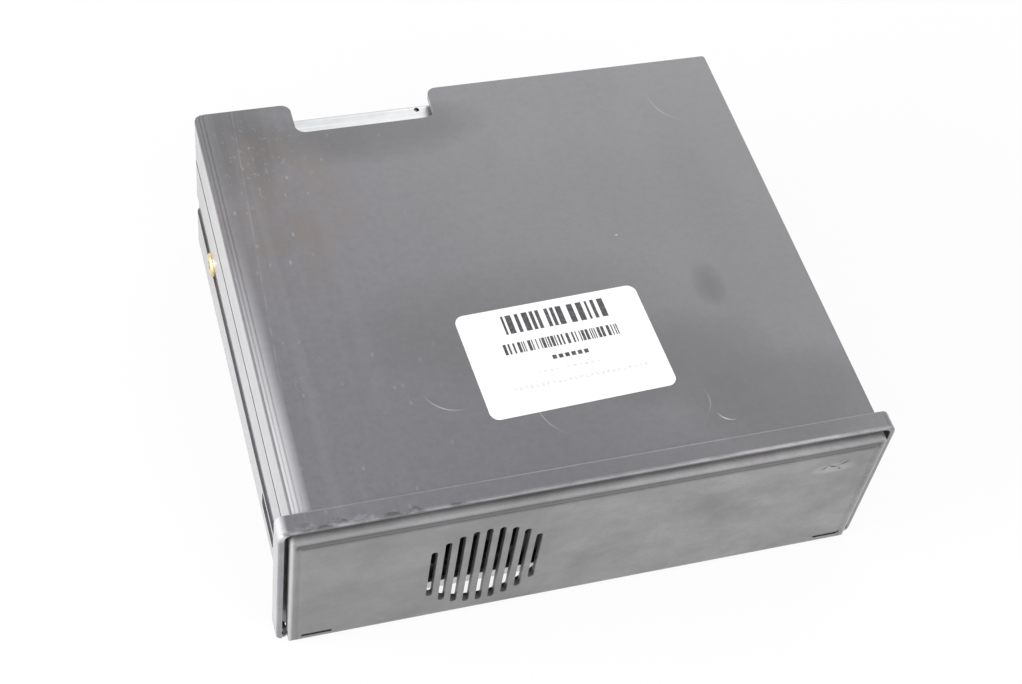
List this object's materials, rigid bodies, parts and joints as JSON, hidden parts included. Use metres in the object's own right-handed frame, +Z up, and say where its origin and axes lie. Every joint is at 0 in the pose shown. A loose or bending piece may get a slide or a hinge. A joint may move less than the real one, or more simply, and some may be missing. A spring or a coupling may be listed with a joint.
{
  "type": "car navigation unit",
  "caption": "Slot-loading car navigation unit in a black moulded cover with a grey drop-down front door and a round fan grille.",
  "frame": {"origin": "middle of the bounding box at the underside", "axes": "+Z up, -Y out of the front door, +X to the right seen from the front"},
  "size_m": [0.189, 0.1656, 0.0592],
  "materials": {
    "black_plastic": "satin moulding",
    "grey_door": "fine grained satin",
    "dark_plastic": "matt",
    "fan_plastic": "matt",
    "button_plastic": "gloss",
    "steel": "bright zinc plated",
    "deck_steel": "plain sheet",
    "yellow_zinc": "yellow passivated zinc",
    "dark_screw": "black",
    "pin_steel": "ground",
    "brass": "plated",
    "gold": "plated",
    "rubber": "matt",
    "green_board": "solder mask over laminate",
    "chip": "moulded package",
    "aluminium": "natural",
    "lens_glass": "clear",
    "white_plastic": "matt",
    "ribbon": "flexible film",
    "sticker": "white paper"
  },
  "bodies": {
    "unit": {"outer_cover": "black_plastic", "door_pins": "pin_steel", "friction_washers": "dark_plastic", "inner_fascia": "dark_plastic", "eject_switch": "chip", "button_board": "green_board", "fan_frame": "fan_plastic", "fan_screws": "steel", "chassis_tray": "steel", "chassis_lid": "steel", "rear_plate": "steel", "main_connector": "dark_plastic", "connector_pins": "gold", "antenna_socket": "brass", "back_board": "green_board", "board_headers": "white_plastic", "main_board": "green_board", "board_standoffs": "brass", "board_screws": "steel", "processor": "chip", "heat_sink": "aluminium", "memory_chips": "chip", "satellite_receiver": "steel", "turn_sensor": "chip", "power_coil": "dark_plastic", "capacitors": "aluminium", "drive_brackets": "deck_steel", "rubber_dampers": "rubber", "drive_screws": "steel", "drive_frame": "deck_steel", "guide_rods": "pin_steel", "sled_motor": "steel", "spindle_motor": "steel", "loading_motor": "steel", "clamp_pin": "pin_steel", "drive_board": "green_board", "drive_ribbon": "ribbon", "lid_screws": "steel", "rear_screws": "steel", "fascia_screws": "dark_screw", "cover_screws": "yellow_zinc", "top_sticker": "sticker"},
    "door": {"front_door": "grey_door"},
    "fan": {"fan_rotor": "fan_plastic"},
    "eject": {"eject_button": "button_plastic"},
    "disc_table": {"turntable": "dark_plastic"},
    "sled": {"laser_sled": "dark_plastic", "laser_lens": "lens_glass"},
    "drive_screw": {"lead_screw": "pin_steel"},
    "roller": {"loading_roller": "rubber", "roller_shaft": "pin_steel"},
    "clamp": {"clamp_arm": "deck_steel"},
    "puck": {"clamp_puck": "white_plastic"}
  },
  "joints": [
    {"name": "door_hinge", "type": "hinge", "parent": "unit", "child": "door", "pos_m": [0, -0.07938, 0.0042], "axis": [1, 0, 0], "range_deg": [0, 90]},
    {"name": "fan_spin", "type": "hinge", "parent": "unit", "child": "fan", "pos_m": [-0.0327, -0.06258, 0.0262], "axis": [0, 1, 0], "continuous": true},
    {"name": "eject_press", "type": "slide", "parent": "unit", "child": "eject", "axis": [0, 1, 0], "range_m": [0, 0.0009], "stiffness_N_per_m": 400, "springref_m": -0.0005},
    {"name": "disc_spin", "type": "hinge", "parent": "unit", "child": "disc_table", "pos_m": [0, -0.00458, 0.0465], "axis": [0, 0, 1], "continuous": true},
    {"name": "sled_slide", "type": "slide", "parent": "unit", "child": "sled", "axis": [0, 1, 0], "range_m": [0, 0.032]},
    {"name": "screw_turn", "type": "hinge", "parent": "unit", "child": "drive_screw", "pos_m": [0.026, 0.00843, 0.0404], "axis": [0, 1, 0], "continuous": true},
    {"name": "roller_turn", "type": "hinge", "parent": "unit", "child": "roller", "pos_m": [0, -0.05217, 0.0456], "axis": [1, 0, 0], "continuous": true},
    {"name": "clamp_tilt", "type": "hinge", "parent": "unit", "child": "clamp", "pos_m": [0, 0.05903, 0.0515], "axis": [1, 0, 0], "range_deg": [0, 1.5]},
    {"name": "puck_spin", "type": "hinge", "parent": "clamp", "child": "puck", "pos_m": [0, -0.00458, 0.0524], "axis": [0, 0, 1], "continuous": true}
  ],
  "couplings": [
    {"joint": "screw_turn", "follows": "sled_slide", "rad_per_m": 3141.6}
  ]
}
